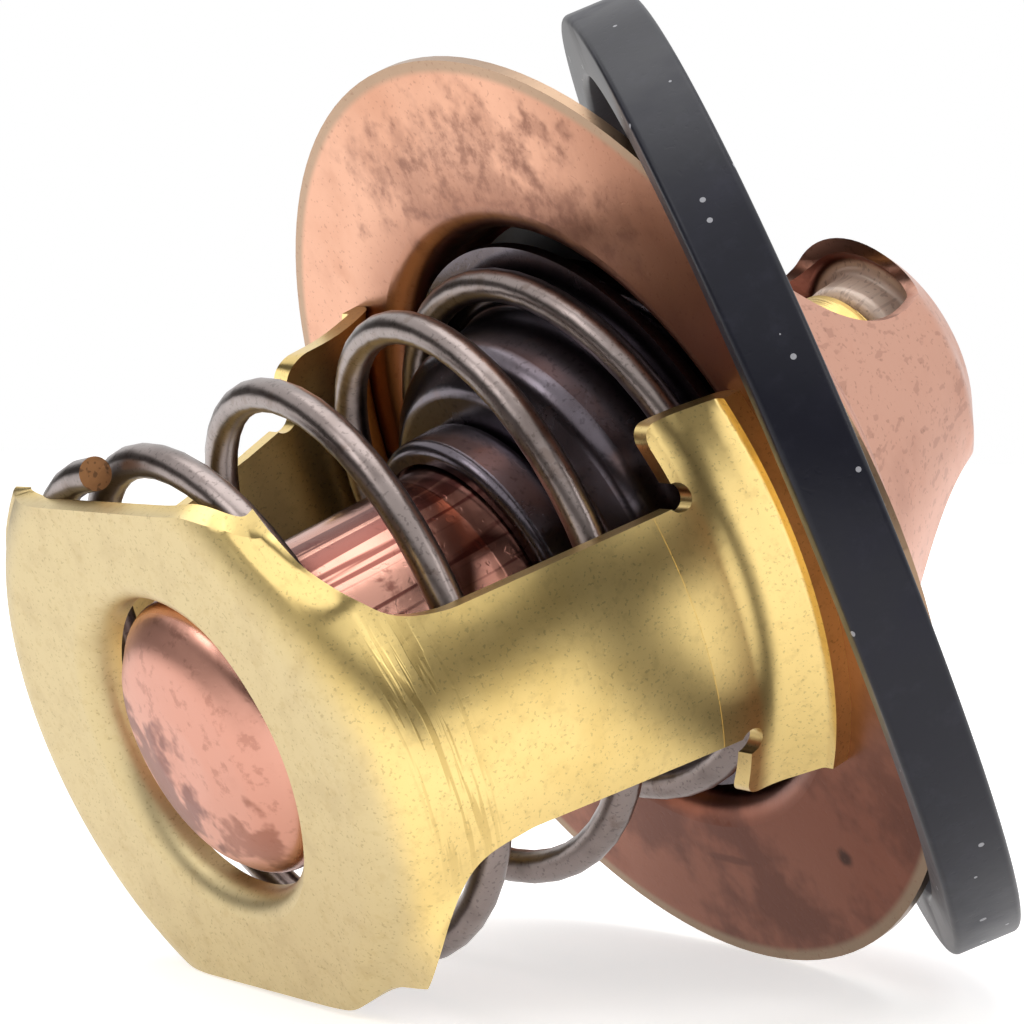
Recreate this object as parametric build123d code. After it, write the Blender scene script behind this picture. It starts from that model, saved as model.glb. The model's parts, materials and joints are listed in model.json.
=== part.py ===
from build123d import *
import math
import os

# Engine thermostat: a wax-driven valve in a drawn copper flange, held by a brass yoke.
# +Z runs along the valve's axis towards the crown, and +X towards one arm of the yoke.
# The origin is the centre of the mounting rim, on the face that the yoke lies on.

# Mounting flange and crown, one drawn sheet of copper
rim_radius = 27.0
copper_sheet = 0.6
neck_radius = 16.9
mouth_bend = 1.8
neck_height = 6.3
seat_radius = 15.5
seat_rise = 0.9
crown_shoulder_radius = 8.5
crown_shoulder_z = 19.4
crown_top_radius = 6.0
crown_top_z = 21.4
cup_radius = 5.1
cup_floor_z = 19.1
dimple_radius = 2.6
dimple_point_radius = 1.2
dimple_depth = 0.7

# Windows in the crown
crown_arm_half_width = 4.75
window_top_z = 21.0
window_corner = 1.4
window_flare = 11.0
window_base_z = 7.6

# Yoke, one folded sheet of brass, left slightly out of square when it was locked in place
brass_sheet = 1.0
base_z = -26.9
base_roll = -2.9
base_pitch = -2.2
base_hole_radius = 8.4
hole_lip_height = 0.4
hole_lip_bend = 1.0
hole_land = 2.0
base_half_width = 13.8
base_bend = 3.4
yoke_shift = -0.6
arm_foot_radius = 18.1
arm_head_radius = 18.7
arm_skew = 2.1
arm_foot_half_width = 5.8
arm_head_half_width = 6.6
arm_root_fillet = 4.4
head_half_width = 10.6
near_head_height = 4.9
far_head_height = 6.3
head_corner = 1.0
head_flare_height = 3.2
head_flare_bend = 3.0
head_flare_radius = 19.9
head_foot_radius = 20.8
ear_notch_radius = 0.75

# Return spring, one steel wire
wire_diameter = 1.8
coil_radius = 14.5
closed_turn_pitch = 1.85
open_turns = 2.65
flat_end_turns = 0.7
flat_end_pitch = 0.4
spring_start_angle = -108.0
spring_seat_gap = 0.1

# Valve, a stack of pressings on a turned guide
valve_travel = 8.0
steel_sheet = 0.6
spring_cup_radius = 16.2
spring_cup_face_z = 0.3
dome_root_radius = 12.6
dome_radius = 12.0
dome_shoulder_height = 4.4
dome_floor_radius = 10.3
dome_floor_depth = 5.7
inner_dome_gap = 1.3
plate_radius = 15.3
seal_radius = 16.3
seal_seat_gap = 0.15
seal_inner_radius = 13.9
seal_thickness = 2.6
retainer_height = 1.0
retainer_radius = 7.4

# Thermostatic capsule
guide_radius = 5.05
guide_gap = 0.15
guide_flange_height = 0.8
capsule_radius = 7.5
capsule_neck_radius = 7.2
capsule_wall = 0.5
capsule_end_gap = 0.2
capsule_dome_rise = 0.5
capsule_corner_height = 2.2
capsule_neck_depth = 2.3
capsule_flange_radius = 8.1
wax_clearance = 0.05
diaphragm_thickness = 0.5
collar_clearance = 0.05
collar_lip_reach = 0.5
piston_radius = 1.6
piston_clearance = 0.05
plug_radius = 2.6
plug_length = 6.8
washer_thickness = 0.5
piston_gap = 0.2

# Loose sealing ring, leaning over the rim and against the crown
ring_outer_radius = 26.7
ring_inner_radius = 23.3
ring_thickness = 3.55
ring_corner = 0.35
ring_offset = 8.8
ring_side_offset = -0.3
ring_height = 4.85
ring_lean = 27.7
ring_turn = -2.5


def sheet(points, radii, thickness):
    """A sheet metal piece of revolution, from the middle line of its section."""
    line = FilletPolyline(*points, radius=radii)
    return revolve(Plane.XZ * trace(line, line_width=thickness), Axis.Z)


def turned(*points):
    """A solid of revolution from the corners of its half section."""
    return revolve(Plane.XZ * make_face(Polyline(*points, close=True)), Axis.Z)


def both_sides(solid):
    """A solid and its mirror image across the plane y = 0."""
    return [solid, mirror(solid, Plane.XZ)]


def flange_body():
    half = copper_sheet / 2
    neck = neck_radius + half
    wall_lean = math.atan2(
        seat_radius - crown_shoulder_radius, crown_shoulder_z - neck_height - seat_rise
    )
    wall = half / math.cos(wall_lean)
    points = [
        (rim_radius, half),
        (neck, half),
        (neck, neck_height + half),
        (seat_radius + wall, neck_height + seat_rise + half),
        (crown_shoulder_radius + wall, crown_shoulder_z),
        (crown_top_radius + half, crown_top_z + half),
        (cup_radius - half, crown_top_z + half),
        (cup_radius - half, cup_floor_z + half),
        (dimple_radius, cup_floor_z + half),
        (dimple_point_radius, cup_floor_z + dimple_depth + half),
        (0, cup_floor_z + dimple_depth + half),
    ]
    radii = [
        mouth_bend - half,
        0.6,
        0.9,
        3.0,
        1.2,
        0.9,
        0.5,
        0.5,
        0.5,
    ]
    shell = sheet(points, radii, copper_sheet)
    return shell - crown_windows()


def crown_windows():
    """The two openings between the crown's arms, cut right through along X."""
    flare_z = window_base_z + window_flare
    far = rim_radius
    corner = (crown_arm_half_width, window_top_z)
    outline = [
        Line((far, window_base_z), (far, window_top_z)),
        Line((far, window_top_z), (crown_arm_half_width + window_corner, window_top_z)),
        JernArc((corner[0] + window_corner, corner[1]), (-1, 0), window_corner, 90),
        Line((corner[0], corner[1] - window_corner), (corner[0], flare_z)),
        JernArc((corner[0], flare_z), (0, -1), window_flare, 90),
        Line((corner[0] + window_flare, window_base_z), (far, window_base_z)),
    ]
    cutter = extrude(Plane.YZ * make_face(outline), amount=rim_radius, both=True)
    core = Cylinder(cup_radius + 0.3, crown_top_z * 2)
    return both_sides(cutter - core)


def base_place():
    """Where the base plate lies: its middle is on the axis, and it is a little tilted."""
    return Pos(0, 0, base_z) * Rot(base_roll, base_pitch, 0)


def head_root_z():
    return -head_flare_height - head_flare_bend


def lower_frame():
    near = yoke_blank(near_head_height, 1)
    far = Rot(0, 0, 180) * yoke_blank(far_head_height, -1)
    blank = near + far
    return (base_shell() & blank) + (arm_shell() & blank) + (head_shell() & blank)


def base_shell():
    """The base plate: the lip of its hole lies on the axis, the bend into the arms beside it."""
    half = brass_sheet / 2
    hole = base_hole_radius + half
    wall = arm_foot_radius - half
    lip_line = [(hole, half + hole_lip_bend + hole_lip_height), (hole, half), (wall, half)]
    lip = sheet(lip_line[:2] + [(hole + hole_land, half)], [hole_lip_bend], brass_sheet)
    bend_line = [(hole + hole_land / 2, half), (wall, half), (wall, base_bend + half)]
    bend = sheet(bend_line, [base_bend - half], brass_sheet)
    return base_place() * (lip + Pos(yoke_shift, 0, 0) * bend)


def arm_shell():
    """Both arms' walls, from the tilted bend of the base plate to the level heads."""
    foot = base_place() * Pos(yoke_shift, 0, base_bend)
    head = Pos(yoke_shift, 0, head_root_z())
    outside = loft([foot * Circle(arm_foot_radius), head * Circle(arm_head_radius)])
    foot_bore = Circle(arm_foot_radius - brass_sheet)
    head_bore = Circle(arm_head_radius - brass_sheet)
    return outside - loft([foot * foot_bore, head * head_bore])


def head_shell():
    """The heads' wall, flared out to lie on the flange."""
    half = brass_sheet / 2
    points = [
        (arm_head_radius - half, head_root_z() - half),
        (arm_head_radius - half, -head_flare_height),
        (head_flare_radius, -half),
        (head_foot_radius, -half),
    ]
    return Pos(yoke_shift, 0, 0) * sheet(points, [4.0, 0.8], brass_sheet)


def yoke_blank(head_height, side):
    """Half of the folded blank, seen along X: half the base plate, an arm and its T-head."""
    pitch = math.radians(base_pitch)
    roll = math.radians(base_roll)
    root_z = base_z + base_bend - side * arm_foot_radius * math.sin(pitch)
    bottom_z = base_z - base_bend

    def root(y):
        return (y, root_z + side * y * math.tan(roll))

    right = arm_skew + arm_head_half_width
    left = arm_skew - arm_head_half_width
    head_right = arm_skew + head_half_width
    head_left = arm_skew - head_half_width
    root_corners = [root(arm_foot_half_width), root(-arm_foot_half_width)]
    head_corners = [(head_right, -head_height), (head_left, -head_height)]
    outline = [
        (-base_half_width, bottom_z),
        (base_half_width, bottom_z),
        root(base_half_width),
        root_corners[0],
        (right, -head_height),
        head_corners[0],
        (head_right, 0),
        (head_left, 0),
        head_corners[1],
        (left, -head_height),
        root_corners[1],
        root(-base_half_width),
    ]
    blank = make_face(Polyline(*outline, close=True))
    blank = fillet([nearest(blank, corner) for corner in root_corners], arm_root_fillet)
    blank = fillet([nearest(blank, corner) for corner in head_corners], head_corner)
    for y in (right + ear_notch_radius / 2, left - ear_notch_radius / 2):
        blank = blank - Pos(y, -head_height) * Circle(ear_notch_radius)
    return extrude(Plane.YZ * blank, amount=rim_radius)


def nearest(shape, point):
    return shape.vertices().sort_by_distance(point)[0]


def plate_rise(radius):
    """How far the base plate's high side lies above its middle, at a radius."""
    slopes = (math.tan(math.radians(base_roll)), math.tan(math.radians(base_pitch)))
    return radius * math.hypot(*slopes)


def spring_start_z():
    seat_z = base_z + brass_sheet + plate_rise(coil_radius)
    return seat_z + wire_diameter / 2 + spring_seat_gap


def spring_end_z():
    return spring_cup_face_z - wire_diameter / 2 - spring_seat_gap / 2


def return_spring():
    """A left-handed coil: a closed turn on the base plate and a flat end in the spring cup."""
    start_z = spring_start_z()
    flat_height = flat_end_turns * flat_end_pitch
    open_height = spring_end_z() - start_z - closed_turn_pitch - flat_height
    stretches = [
        (closed_turn_pitch, closed_turn_pitch),
        (open_height / open_turns, open_height),
        (flat_end_pitch, flat_height),
    ]
    z = start_z
    angle = spring_start_angle
    edges = []
    for pitch, height in stretches:
        turn = Helix(pitch=pitch, height=height, radius=coil_radius, lefthand=True)
        edges.append(Pos(0, 0, z) * Rot(0, 0, angle) * turn)
        z += height
        angle -= 360 * height / pitch
    path = Wire(edges)
    section = Plane(origin=path @ 0, z_dir=path % 0) * Circle(wire_diameter / 2)
    return sweep(section, path=path, transition=Transition.ROUND)


def capsule_end_z():
    return base_z + capsule_end_gap


def cup_floor():
    """The height of the spring cup's floor, on the side of the capsule."""
    return spring_cup_face_z - dome_floor_depth


def guide_flange_z():
    return cup_floor() - steel_sheet - guide_flange_height


def capsule_flange_z():
    return guide_flange_z() - diaphragm_thickness


def seal_top_z():
    """The seal stops just short of the sloping seat inside the neck."""
    share = (neck_radius - seal_radius) / (neck_radius - seat_radius)
    return neck_height + seat_rise * share - seal_seat_gap


def spring_cup():
    half = steel_sheet / 2
    face = spring_cup_face_z + half
    floor = cup_floor() + half
    points = [
        (spring_cup_radius, face),
        (dome_root_radius, face),
        (dome_radius, face - dome_shoulder_height),
        (dome_floor_radius, floor),
        (guide_radius + collar_clearance, floor),
    ]
    return sheet(points, [0.8, 1.6, 0.9], steel_sheet)


def valve_plate():
    half = steel_sheet / 2
    face = seal_top_z() - seal_thickness / 2
    floor = cup_floor() + steel_sheet + half
    shoulder = spring_cup_face_z + half - dome_shoulder_height + inner_dome_gap / 2
    points = [
        (plate_radius, face),
        (dome_root_radius - inner_dome_gap, face),
        (dome_radius - inner_dome_gap, shoulder),
        (dome_floor_radius - inner_dome_gap, floor),
        (guide_radius + collar_clearance, floor),
    ]
    return sheet(points, [0.8, 1.6, 0.9], steel_sheet)


def valve_seal():
    """A rubber ring moulded round the valve plate's edge."""
    top = seal_top_z()
    bottom = top - seal_thickness
    slot_top = top - (seal_thickness - steel_sheet) / 2
    slot_bottom = slot_top - steel_sheet
    return turned(
        (seal_inner_radius, bottom),
        (seal_radius, bottom),
        (seal_radius, top - seal_seat_gap * 4),
        (seal_radius - seal_seat_gap * 4, top),
        (seal_inner_radius, top),
        (seal_inner_radius, slot_top),
        (plate_radius, slot_top),
        (plate_radius, slot_bottom),
        (seal_inner_radius, slot_bottom),
    )


def retaining_ring():
    floor = cup_floor() + 2 * steel_sheet
    ring = Cylinder(retainer_radius, retainer_height) - Cylinder(guide_radius, retainer_height)
    ring = chamfer(ring.edges().group_by(Axis.Z)[-1].sort_by(SortBy.RADIUS)[-1], 0.3)
    return Pos(0, 0, floor + retainer_height / 2) * ring


def washer_top_z():
    return guide_flange_z() + plug_length + washer_thickness


def guide_bush():
    """The turned brass body that slides along the piston."""
    bottom = guide_flange_z()
    top = cup_floor_z - guide_gap
    step = washer_top_z() + valve_travel + piston_gap
    flange_top = bottom + guide_flange_height
    bore = piston_radius + piston_clearance
    edge = 0.3
    return turned(
        (plug_radius, bottom),
        (capsule_flange_radius, bottom),
        (capsule_flange_radius, flange_top),
        (guide_radius, flange_top),
        (guide_radius, top - edge),
        (guide_radius - edge, top),
        (bore, top),
        (bore, step),
        (plug_radius, step),
    )


def capsule_line():
    """The middle line of the copper cup's wall, from its end to its flange."""
    half = capsule_wall / 2
    end = capsule_end_z() + half
    wall = capsule_radius - half
    neck = capsule_neck_radius - half
    flange = capsule_flange_z() - half
    return [
        (0, end),
        (wall / 3, end),
        (wall * 0.75, end + capsule_dome_rise),
        (wall, end + capsule_corner_height),
        (neck, flange - capsule_neck_depth),
        (neck + half, flange),
        (capsule_flange_radius, flange),
    ]


def capsule_cup():
    return sheet(capsule_line(), [4.0, 2.2, 2.2, 1.5, 0.4], capsule_wall)


def wax_charge():
    """The wax that fills the cup below the diaphragm."""
    inside = capsule_wall / 2 + wax_clearance
    slope = 2 * wax_clearance
    line = capsule_line()
    top = capsule_flange_z()
    points = [(0, line[0][1] + inside)]
    points.append((line[1][0], line[1][1] + inside))
    points.append((line[2][0] - inside / 2, line[2][1] + inside + slope))
    points.append((line[3][0] - inside, line[3][1] + inside + slope))
    points.append((line[4][0] - inside, line[4][1]))
    points.append((line[5][0] - inside, line[5][1]))
    points.append((line[5][0] - inside, top))
    points.append((0, top))
    return turned(*points)


def diaphragm():
    disc = Cylinder(capsule_flange_radius, diaphragm_thickness)
    return Pos(0, 0, capsule_flange_z() + diaphragm_thickness / 2) * disc


def clamp_collar():
    """The steel collar rolled over the flanges of the cup and the guide."""
    half = steel_sheet / 2
    wall = capsule_flange_radius + collar_clearance + half
    top = cup_floor() - half
    bottom = capsule_flange_z() - capsule_wall - collar_clearance - half
    points = [
        (guide_radius + collar_clearance, top),
        (wall, top),
        (wall, bottom),
        (capsule_flange_radius - collar_lip_reach, bottom),
    ]
    return sheet(points, [half + 0.05, half + 0.1], steel_sheet)


def rubber_plug():
    return Pos(0, 0, guide_flange_z() + plug_length / 2) * Cylinder(plug_radius, plug_length)


def backing_washer():
    middle = washer_top_z() - washer_thickness / 2
    return Pos(0, 0, middle) * Cylinder(plug_radius, washer_thickness)


def piston_pin():
    """The fixed rod: its tip sits in the crown's cup, and the guide slides down it."""
    bottom = washer_top_z() + piston_gap
    tip = cup_floor_z + dimple_depth
    tip_radius = dimple_point_radius - 0.1
    shoulder = tip - dimple_depth / 2
    return turned(
        (0, bottom),
        (piston_radius, bottom),
        (piston_radius, shoulder),
        (tip_radius, tip),
        (0, tip),
    )


def sealing_ring():
    """The square-section rubber ring, lying askew as it was left."""
    width = ring_outer_radius - ring_inner_radius
    middle = ring_inner_radius + width / 2
    section = Pos(middle, ring_thickness / 2) * RectangleRounded(width, ring_thickness, ring_corner)
    ring = revolve(Plane.XZ * section, Axis.Z)
    place = Pos(ring_offset, ring_side_offset, ring_height)
    return place * Rot(0, 0, ring_turn) * Rot(0, ring_lean, 0) * ring


nodes = {
    "flange_body": flange_body,
    "lower_frame": lower_frame,
    "sealing_ring": sealing_ring,
    "return_spring": return_spring,
    "piston_pin": piston_pin,
    "spring_cup": spring_cup,
    "valve_plate": valve_plate,
    "valve_seal": valve_seal,
    "retaining_ring": retaining_ring,
    "guide_bush": guide_bush,
    "clamp_collar": clamp_collar,
    "capsule_cup": capsule_cup,
    "wax_charge": wax_charge,
    "diaphragm": diaphragm,
    "rubber_plug": rubber_plug,
    "backing_washer": backing_washer,
}

os.makedirs("parts", exist_ok=True)
for name, make in nodes.items():
    piece = make()
    solids = piece.solids()
    volume = sum(solid.volume for solid in solids)
    print(name, len(solids), "solid", round(volume, 1), "mm3")
    export_step(piece, "parts/" + name + ".step")
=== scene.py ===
# %% [markdown]
# # An engine thermostat, dressed in Blender
# The solids come from the imported CAD part and stay where they are. This script gives them
# their finishes, makes the coil spring again, and sets the camera, the table and the soft
# studio light around them. All lengths are in metres.

# %% Load the frame
import json
import math

import bmesh
import bpy
import numpy as np
from mathutils import Matrix, Vector

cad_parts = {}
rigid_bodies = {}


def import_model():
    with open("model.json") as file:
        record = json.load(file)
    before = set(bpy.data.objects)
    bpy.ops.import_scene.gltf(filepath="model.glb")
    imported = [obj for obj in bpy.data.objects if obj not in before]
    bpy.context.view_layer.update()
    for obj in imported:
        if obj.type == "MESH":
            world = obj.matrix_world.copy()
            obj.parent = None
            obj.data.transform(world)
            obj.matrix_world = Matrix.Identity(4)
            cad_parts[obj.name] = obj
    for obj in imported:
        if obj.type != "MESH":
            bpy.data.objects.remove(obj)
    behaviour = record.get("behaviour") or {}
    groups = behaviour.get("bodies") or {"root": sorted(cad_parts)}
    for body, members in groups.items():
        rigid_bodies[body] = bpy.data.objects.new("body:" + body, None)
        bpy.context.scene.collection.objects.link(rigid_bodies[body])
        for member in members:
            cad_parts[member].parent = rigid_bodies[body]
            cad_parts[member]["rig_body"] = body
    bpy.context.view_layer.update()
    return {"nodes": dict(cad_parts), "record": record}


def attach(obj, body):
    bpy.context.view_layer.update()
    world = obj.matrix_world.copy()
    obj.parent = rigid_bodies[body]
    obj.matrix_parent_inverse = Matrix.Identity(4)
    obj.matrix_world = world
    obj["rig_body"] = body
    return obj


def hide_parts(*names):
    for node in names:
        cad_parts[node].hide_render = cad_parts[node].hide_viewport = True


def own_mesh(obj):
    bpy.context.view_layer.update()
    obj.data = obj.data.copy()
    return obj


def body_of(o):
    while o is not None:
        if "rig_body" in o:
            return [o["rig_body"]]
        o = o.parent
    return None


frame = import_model()
MM = 0.001
MICRON = 0.001 * MM
print("nodes:", sorted(frame["nodes"]))

# %% [markdown]
# ## Table and camera
# The part lies on the edge of its base plate and the edge of its rim, so the table is a
# tilted plane in the part's own frame. It could be drawn at a guessed height, but the lowest
# corner of the meshes along the table's normal says exactly where it touches. The table is
# seen from above only: its back is transparent, so a view from below is not blocked.

# %% Find the table's height
TABLE_NORMAL = Vector((0, -0.905, 0.425)).normalized()
TABLE_RADIUS = 0.7
TABLE_SIDES = 96
TABLE_GAP = 0.02 * MM


def lowest_along(normal):
    """The lowest place of any node's mesh along a direction."""
    lowest = 1.0
    for node in frame["nodes"].values():
        points = np.empty(len(node.data.vertices) * 3, np.float32)
        node.data.vertices.foreach_get("co", points)
        lowest = min(lowest, float((points.reshape(-1, 3) @ np.array(normal)).min()))
    return lowest


table_height = lowest_along(TABLE_NORMAL) - TABLE_GAP
print("table height along its normal:", round(table_height / MM, 2), "mm")

# %% Lay the table
table_across = Vector((1, 0, 0))
table_along = TABLE_NORMAL.cross(table_across)
table_mesh = bpy.data.meshes.new("table_top")
table_rim = []
for step in range(TABLE_SIDES):
    turn = 2 * math.pi * step / TABLE_SIDES
    outward = table_across * math.cos(turn) + table_along * math.sin(turn)
    table_rim.append(TABLE_NORMAL * table_height + outward * TABLE_RADIUS)
table_mesh.from_pydata(table_rim, [], [list(range(TABLE_SIDES))])
table = bpy.data.objects.new("table_top", table_mesh)
bpy.context.scene.collection.objects.link(table)
print("table faces:", len(table_mesh.polygons))

# %% Set the camera
CAMERA_PLACE = Vector((181.408, -61.320, -101.956)) * MM
CAMERA_FORWARD = Vector((-0.8476, 0.2730, 0.4550)).normalized()
CAMERA_UP = Vector((-0.0532, -0.8969, 0.4390))
LENS_MM = 140.625
SENSOR_MM = 36
NEAR_CLIP = 5 * MM


def aimed(place, forward, up):
    """The matrix of a camera or lamp that looks along forward."""
    right = forward.cross(up).normalized()
    true_up = right.cross(forward)
    turn = Matrix((right, true_up, -forward)).transposed().to_4x4()
    return Matrix.Translation(place) @ turn


camera_data = bpy.data.cameras.new("photo_camera")
camera_data.lens = LENS_MM
camera_data.sensor_width = SENSOR_MM
camera_data.clip_start = NEAR_CLIP
camera = bpy.data.objects.new("photo_camera", camera_data)
camera.matrix_world = aimed(CAMERA_PLACE, CAMERA_FORWARD, CAMERA_UP)
bpy.context.scene.collection.objects.link(camera)
bpy.context.scene.camera = camera
bpy.context.scene.view_settings.view_transform = "Standard"
bpy.context.scene.cycles.max_bounces = 4
bpy.context.scene.cycles.diffuse_bounces = 2
print("camera is", round(CAMERA_PLACE.length / MM), "mm from the part")

# %% [markdown]
# ## Node helpers
# A finish is a small program: coordinates go in, and colour, roughness and bumps come out.
# Wiring it by hand in the editor is clear for one material, but twelve finishes share the
# same stains, pits and scratches, so those are built once as node groups and placed in each
# material with their own values.


# %% Start a node group
def colour(red, green, blue):
    """A colour as it looks on screen, 0 to 255, turned into Blender's linear numbers."""
    linear = []
    for level in (red, green, blue):
        share = level / 255
        linear.append(share / 12.92 if share <= 0.04045 else ((share + 0.055) / 1.055) ** 2.4)
    return (*linear, 1.0)


SOCKETS = {"value": "NodeSocketFloat", "vector": "NodeSocketVector"}
SEED_STEP = 0.05


class Wiring:
    """A node tree with short calls that add a node and wire its inputs."""

    def __init__(self, tree):
        self.tree = tree

    def add(self, kind, inputs=None, **settings):
        node = self.tree.nodes.new(kind)
        for name, value in settings.items():
            setattr(node, name, value)
        for name, value in (inputs or {}).items():
            self.put(node.inputs[name], value)
        return node

    def put(self, socket, value):
        if isinstance(value, bpy.types.NodeSocket):
            self.tree.links.new(value, socket)
        else:
            socket.default_value = value

    def maths(self, operation, *values, clamp=False):
        node = self.add("ShaderNodeMath", operation=operation, use_clamp=clamp)
        for socket, value in zip(node.inputs, values):
            self.put(socket, value)
        return node.outputs[0]

    def noise(self, vector, scale, detail=2.0, seed=0.0, roughness=0.55):
        """Noise at a place of its own for each seed, as three-dimensional noise is quick."""
        moved = self.add("ShaderNodeVectorMath", operation="ADD")
        self.put(moved.inputs[0], vector)
        self.put(moved.inputs[1], self.maths("MULTIPLY", seed, SEED_STEP))
        sizes = {"Vector": moved.outputs[0], "Scale": scale, "Detail": detail}
        node = self.add("ShaderNodeTexNoise", sizes)
        node.inputs["Roughness"].default_value = roughness
        return node.outputs["Fac"]

    def ramp(self, value, start, end, low=0.0, high=1.0):
        """Low where value is below start, high where it is above end, and smooth between."""
        limits = {"Value": value, "From Min": start, "From Max": end}
        node = self.add("ShaderNodeMapRange", limits, interpolation_type="SMOOTHSTEP")
        self.put(node.inputs["To Min"], low)
        self.put(node.inputs["To Max"], high)
        return node.outputs["Result"]

    def blend(self, mask, under, over):
        node = self.add("ShaderNodeMix", data_type="RGBA")
        self.put(node.inputs[0], mask)
        self.put(node.inputs[6], under)
        self.put(node.inputs[7], over)
        return node.outputs[2]


def start_group(name, inputs, outputs):
    tree = bpy.data.node_groups.new(name, "ShaderNodeTree")
    for label, kind, default in inputs:
        socket = tree.interface.new_socket(label, in_out="INPUT", socket_type=SOCKETS[kind])
        if default is not None:
            socket.default_value = default
    for label in outputs:
        tree.interface.new_socket(label, in_out="OUTPUT", socket_type="NodeSocketFloat")
    wiring = Wiring(tree)
    entry = tree.nodes.new("NodeGroupInput").outputs
    leave = tree.nodes.new("NodeGroupOutput").inputs
    return wiring, entry, leave


print("sockets:", sorted(SOCKETS))

# %% [markdown]
# ## Shared effects
# Handled and stored metal shows four things at different scales: stains with ragged edges,
# fine pits, hairline scratches, and specks of dust. Images of dirt would do it too, but
# noise in the part's own coordinates needs no unwrapping and never shows a seam.

# %% Build the stain and the spot
wiring, entry, leave = start_group(
    "stains",
    [("Scale", "value", 100.0), ("Cover", "value", 0.5), ("Edge", "value", 0.1), ("Seed", "value", 0.0)],
    ["Mask"],
)
place = wiring.add("ShaderNodeTexCoord").outputs["Object"]
cloud = wiring.noise(place, entry["Scale"], detail=4.0, seed=entry["Seed"], roughness=0.62)
stain_start = wiring.maths("SUBTRACT", 1.0, entry["Cover"])
stain_end = wiring.maths("ADD", stain_start, entry["Edge"])
wiring.put(leave["Mask"], wiring.ramp(cloud, stain_start, stain_end))

wiring, entry, leave = start_group(
    "spot",
    [
        ("Centre", "vector", (0, 0, 0)),
        ("Stretch", "vector", (1, 1, 1)),
        ("Radius", "value", 0.003),
        ("Ragged", "value", 0.5),
    ],
    ["Mask"],
)
place = wiring.add("ShaderNodeTexCoord").outputs["Object"]
shifted = wiring.add("ShaderNodeVectorMath", operation="SUBTRACT")
wiring.put(shifted.inputs[0], place)
wiring.put(shifted.inputs[1], entry["Centre"])
scaled = wiring.add("ShaderNodeVectorMath", operation="MULTIPLY")
wiring.put(scaled.inputs[0], shifted.outputs[0])
wiring.put(scaled.inputs[1], entry["Stretch"])
distance = wiring.add("ShaderNodeVectorMath", operation="LENGTH")
wiring.put(distance.inputs[0], scaled.outputs[0])
share = wiring.maths("DIVIDE", distance.outputs["Value"], entry["Radius"])
rough_edge = wiring.maths("SUBTRACT", wiring.noise(place, 420.0, detail=3.0), 0.5)
rough_edge = wiring.maths("MULTIPLY", rough_edge, entry["Ragged"])
share = wiring.maths("ADD", share, wiring.maths("MULTIPLY", rough_edge, 3.0))
wiring.put(leave["Mask"], wiring.ramp(share, 0.45, 1.05, 1.0, 0.0))
print("groups:", [group.name for group in bpy.data.node_groups])

# %% Build pits, scratches and dust
wiring, entry, leave = start_group(
    "pits",
    [("Scale", "value", 2500.0), ("Cover", "value", 0.3)],
    ["Mask", "Height"],
)
place = wiring.add("ShaderNodeTexCoord").outputs["Object"]
grain = wiring.noise(place, entry["Scale"], detail=1.0)
pit_end = wiring.maths("SUBTRACT", 0.72, wiring.maths("MULTIPLY", entry["Cover"], 0.4))
pit_mask = wiring.ramp(grain, pit_end, wiring.maths("ADD", pit_end, 0.08))
wiring.put(leave["Mask"], pit_mask)
fine = wiring.noise(place, wiring.maths("MULTIPLY", entry["Scale"], 0.35), detail=2.0, seed=3.0)
wiring.put(leave["Height"], wiring.maths("SUBTRACT", fine, wiring.maths("MULTIPLY", pit_mask, 0.2)))

wiring, entry, leave = start_group(
    "scratches",
    [
        ("Scale", "value", 900.0),
        ("Stretch", "vector", (1, 1, 0.05)),
        ("Cover", "value", 0.3),
        ("Seed", "value", 0.0),
    ],
    ["Mask"],
)
place = wiring.add("ShaderNodeTexCoord").outputs["Object"]
drawn = wiring.add("ShaderNodeVectorMath", operation="MULTIPLY")
wiring.put(drawn.inputs[0], place)
wiring.put(drawn.inputs[1], entry["Stretch"])
lines = wiring.noise(drawn.outputs[0], entry["Scale"], detail=2.0, seed=entry["Seed"])
line_start = wiring.maths("SUBTRACT", 0.75, wiring.maths("MULTIPLY", entry["Cover"], 0.4))
wiring.put(leave["Mask"], wiring.ramp(lines, line_start, wiring.maths("ADD", line_start, 0.07)))

wiring, entry, leave = start_group(
    "dust",
    [("Scale", "value", 700.0), ("Size", "value", 0.12), ("Share", "value", 0.2)],
    ["Mask"],
)
place = wiring.add("ShaderNodeTexCoord").outputs["Object"]
cells = wiring.add("ShaderNodeTexVoronoi", {"Vector": place, "Scale": entry["Scale"]})
near = wiring.maths("LESS_THAN", cells.outputs["Distance"], entry["Size"])
draw = wiring.add("ShaderNodeSeparateColor", {"Color": cells.outputs["Color"]}).outputs["Red"]
picked = wiring.maths("LESS_THAN", draw, entry["Share"])
wiring.put(leave["Mask"], wiring.maths("MULTIPLY", near, picked))
print("groups:", [group.name for group in bpy.data.node_groups])

# %% [markdown]
# Most of this part is turned or drawn round one axis, so the distance from that axis and the
# height along it say where on the piece a point is: on the rim, on the neck or in the crown.
# The same group tells the outside of a bent sheet from its inside, by whether the surface
# faces away from the axis.

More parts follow.
